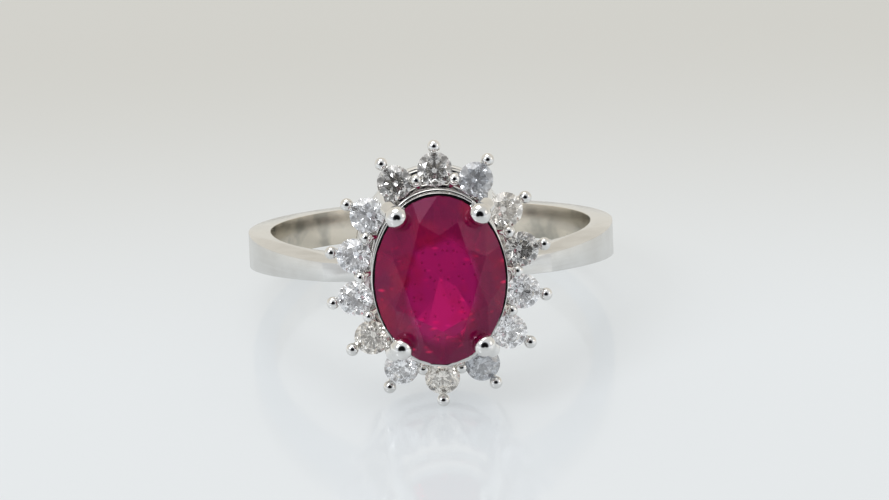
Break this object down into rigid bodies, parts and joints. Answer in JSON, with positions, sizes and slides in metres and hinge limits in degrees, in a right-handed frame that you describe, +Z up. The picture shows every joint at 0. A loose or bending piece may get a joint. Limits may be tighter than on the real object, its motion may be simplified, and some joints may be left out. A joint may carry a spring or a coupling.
{
  "type": "cocktail ring",
  "caption": "Cocktail ring with an oval red centre stone in ball claws, a halo of round white stones and an open wire gallery on a flat-sided tapering band.",
  "frame": {"origin": "centre of the finger hole, midway across the band's width", "axes": "+Z up from the table that the ring lies on, -Y towards the head, +X to the right of someone who faces the head; the finger's axis leans in the YZ plane"},
  "size_m": [0.0194, 0.0253, 0.0134],
  "materials": {
    "white_metal": "rhodium-white precious metal, polished, satin on the band",
    "ruby": "polished transparent ruby with facets",
    "diamond": "polished colourless diamond with facets"
  },
  "bodies": {
    "root": {"shank": "white_metal", "base_rail": "white_metal", "inner_rail": "white_metal", "outer_rail": "white_metal", "basket_rail": "white_metal", "bearing_rail": "white_metal", "ruby": "ruby", "claw_1": "white_metal", "claw_2": "white_metal", "claw_3": "white_metal", "claw_4": "white_metal", "diamond_01": "diamond", "diamond_02": "diamond", "diamond_03": "diamond", "diamond_04": "diamond", "diamond_05": "diamond", "diamond_06": "diamond", "diamond_07": "diamond", "diamond_08": "diamond", "diamond_09": "diamond", "diamond_10": "diamond", "diamond_11": "diamond", "diamond_12": "diamond", "diamond_13": "diamond", "diamond_14": "diamond", "outer_prong_01": "white_metal", "outer_prong_02": "white_metal", "outer_prong_03": "white_metal", "outer_prong_04": "white_metal", "outer_prong_05": "white_metal", "outer_prong_06": "white_metal", "outer_prong_07": "white_metal", "outer_prong_08": "white_metal", "outer_prong_09": "white_metal", "outer_prong_10": "white_metal", "outer_prong_11": "white_metal", "outer_prong_12": "white_metal", "outer_prong_13": "white_metal", "outer_prong_14": "white_metal", "shared_prong_01": "white_metal", "shared_prong_02": "white_metal", "shared_prong_03": "white_metal", "shared_prong_04": "white_metal", "shared_prong_05": "white_metal", "shared_prong_06": "white_metal", "shared_prong_07": "white_metal", "shared_prong_08": "white_metal", "shared_prong_09": "white_metal", "shared_prong_10": "white_metal"}
  },
  "joints": []
}
